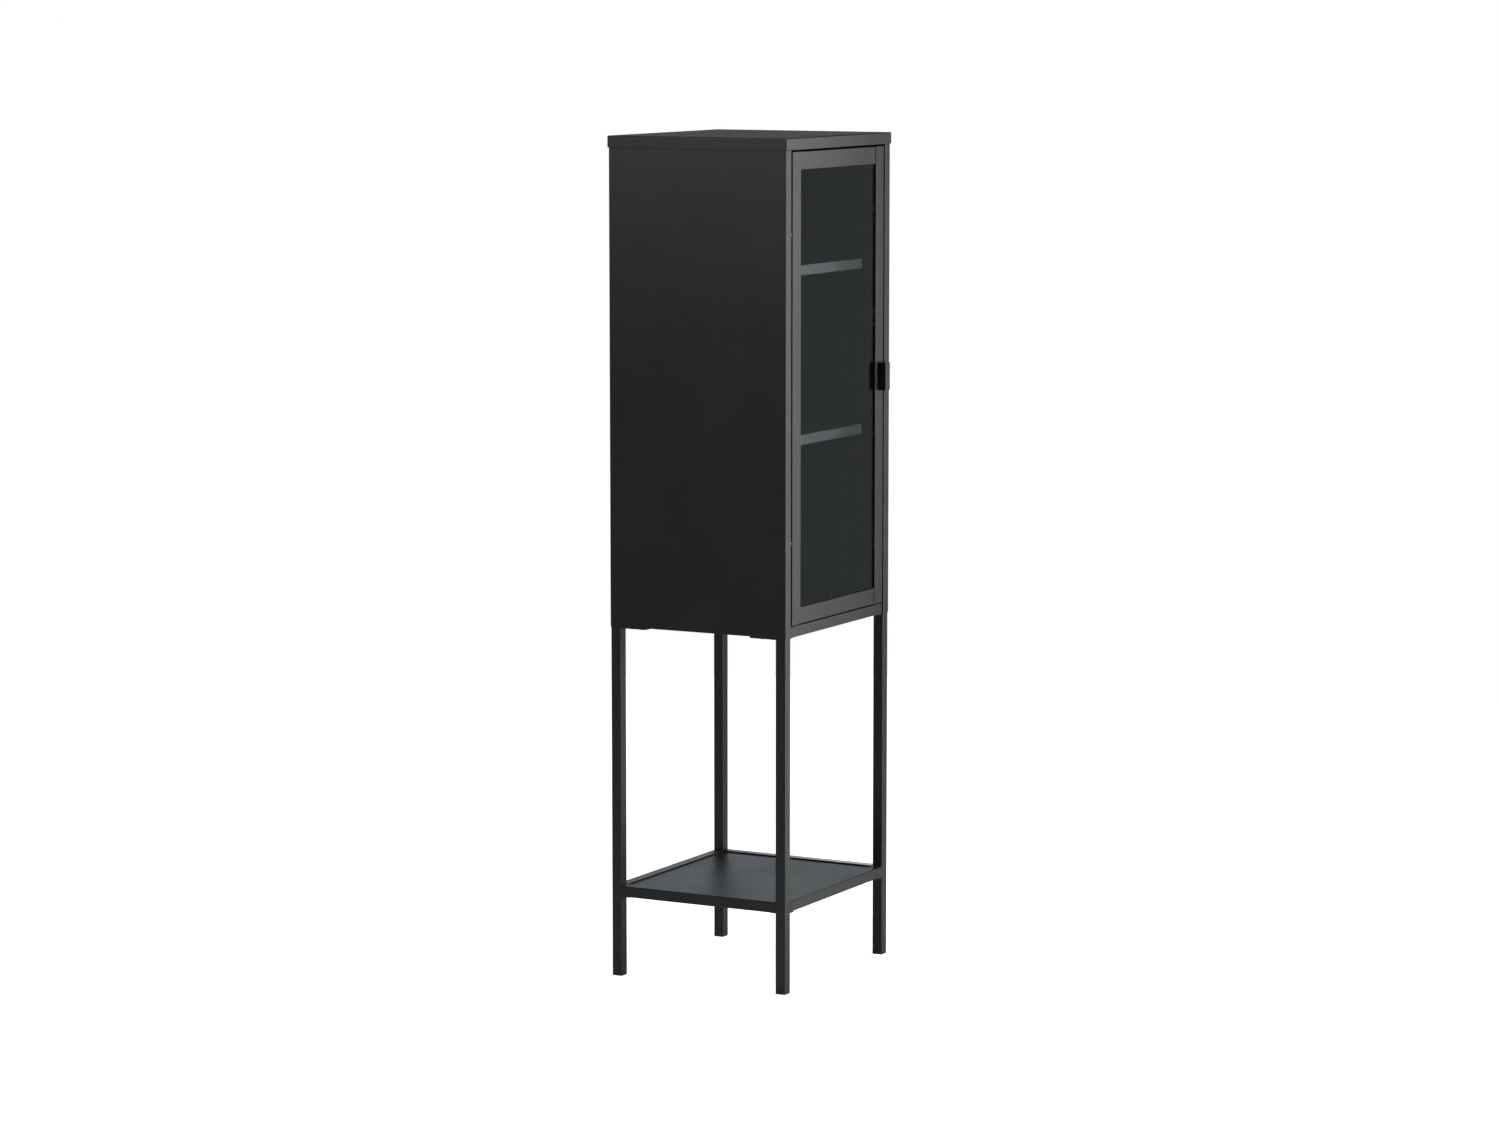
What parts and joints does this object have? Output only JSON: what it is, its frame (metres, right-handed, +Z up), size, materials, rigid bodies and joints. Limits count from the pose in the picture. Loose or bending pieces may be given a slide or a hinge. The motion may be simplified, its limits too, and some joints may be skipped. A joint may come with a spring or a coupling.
{
  "type": "glass-door display cabinet",
  "caption": "Tall narrow cabinet of folded sheet steel with a framed glass door, inner shelves and a tab pull, standing on square tube legs joined by an open low shelf.",
  "frame": {"origin": "on the floor, under the centre of the bounding box (door pull included)", "axes": "+X to the right as seen from the front, +Y towards the back, +Z up; the door is on the -Y side"},
  "size_m": [0.42, 0.3794, 1.55],
  "materials": {
    "coated_steel": "dark grey-black powder coat, satin, very fine texture",
    "glass": "clear toughened glass, polished",
    "seal": "matt black",
    "clear_plastic": "translucent nylon",
    "black_plastic": "moulded, lightly textured",
    "zinc": "bright zinc plate",
    "black_screw": "black oxide"
  },
  "bodies": {
    "cabinet": {"back_panel": "coated_steel", "back_screws": "black_screw", "base_corner_front_left": "coated_steel", "base_corner_front_right": "coated_steel", "base_corner_rear_left": "coated_steel", "base_corner_rear_right": "coated_steel", "base_corner_screws": "black_screw", "base_rail_front": "coated_steel", "base_rail_left": "coated_steel", "base_rail_rear": "coated_steel", "base_rail_right": "coated_steel", "base_shelf": "coated_steel", "bottom_panel": "coated_steel", "cabinet_lug_lower": "coated_steel", "cabinet_lug_upper": "coated_steel", "catch_body": "black_plastic", "catch_magnet": "zinc", "catch_screws": "zinc", "foot_front_left": "black_plastic", "foot_front_right": "black_plastic", "foot_rear_left": "black_plastic", "foot_rear_right": "black_plastic", "hinge_pin_lower": "zinc", "hinge_pin_upper": "zinc", "leg_front_left": "coated_steel", "leg_front_right": "coated_steel", "leg_plate_bolts": "black_screw", "leg_plate_front_left": "coated_steel", "leg_plate_front_right": "coated_steel", "leg_plate_nuts": "zinc", "leg_plate_rear_left": "coated_steel", "leg_plate_rear_right": "coated_steel", "leg_rear_left": "coated_steel", "leg_rear_right": "coated_steel", "shelf_lower": "coated_steel", "shelf_pins": "zinc", "shelf_strip_front_left": "coated_steel", "shelf_strip_front_right": "coated_steel", "shelf_strip_rear_left": "coated_steel", "shelf_strip_rear_right": "coated_steel", "shelf_upper": "coated_steel", "side_panel_left": "coated_steel", "side_panel_right": "coated_steel", "top_panel": "coated_steel", "top_panel_screws": "zinc"},
    "door": {"door_glass": "glass", "door_handle": "coated_steel", "door_lug_lower": "coated_steel", "door_lug_upper": "coated_steel", "door_rail_bottom": "coated_steel", "door_rail_top": "coated_steel", "door_seal": "seal", "door_stile_left": "coated_steel", "door_stile_right": "coated_steel", "glass_clip_screws": "zinc", "glass_clips": "clear_plastic", "handle_screws": "black_screw", "strike_plate": "zinc"}
  },
  "joints": [
    {"name": "door_hinge", "type": "hinge", "parent": "cabinet", "child": "door", "pos_m": [-0.1845, -0.1733, 1.099], "axis": [0, 0, -1], "range_deg": [0, 110]}
  ]
}
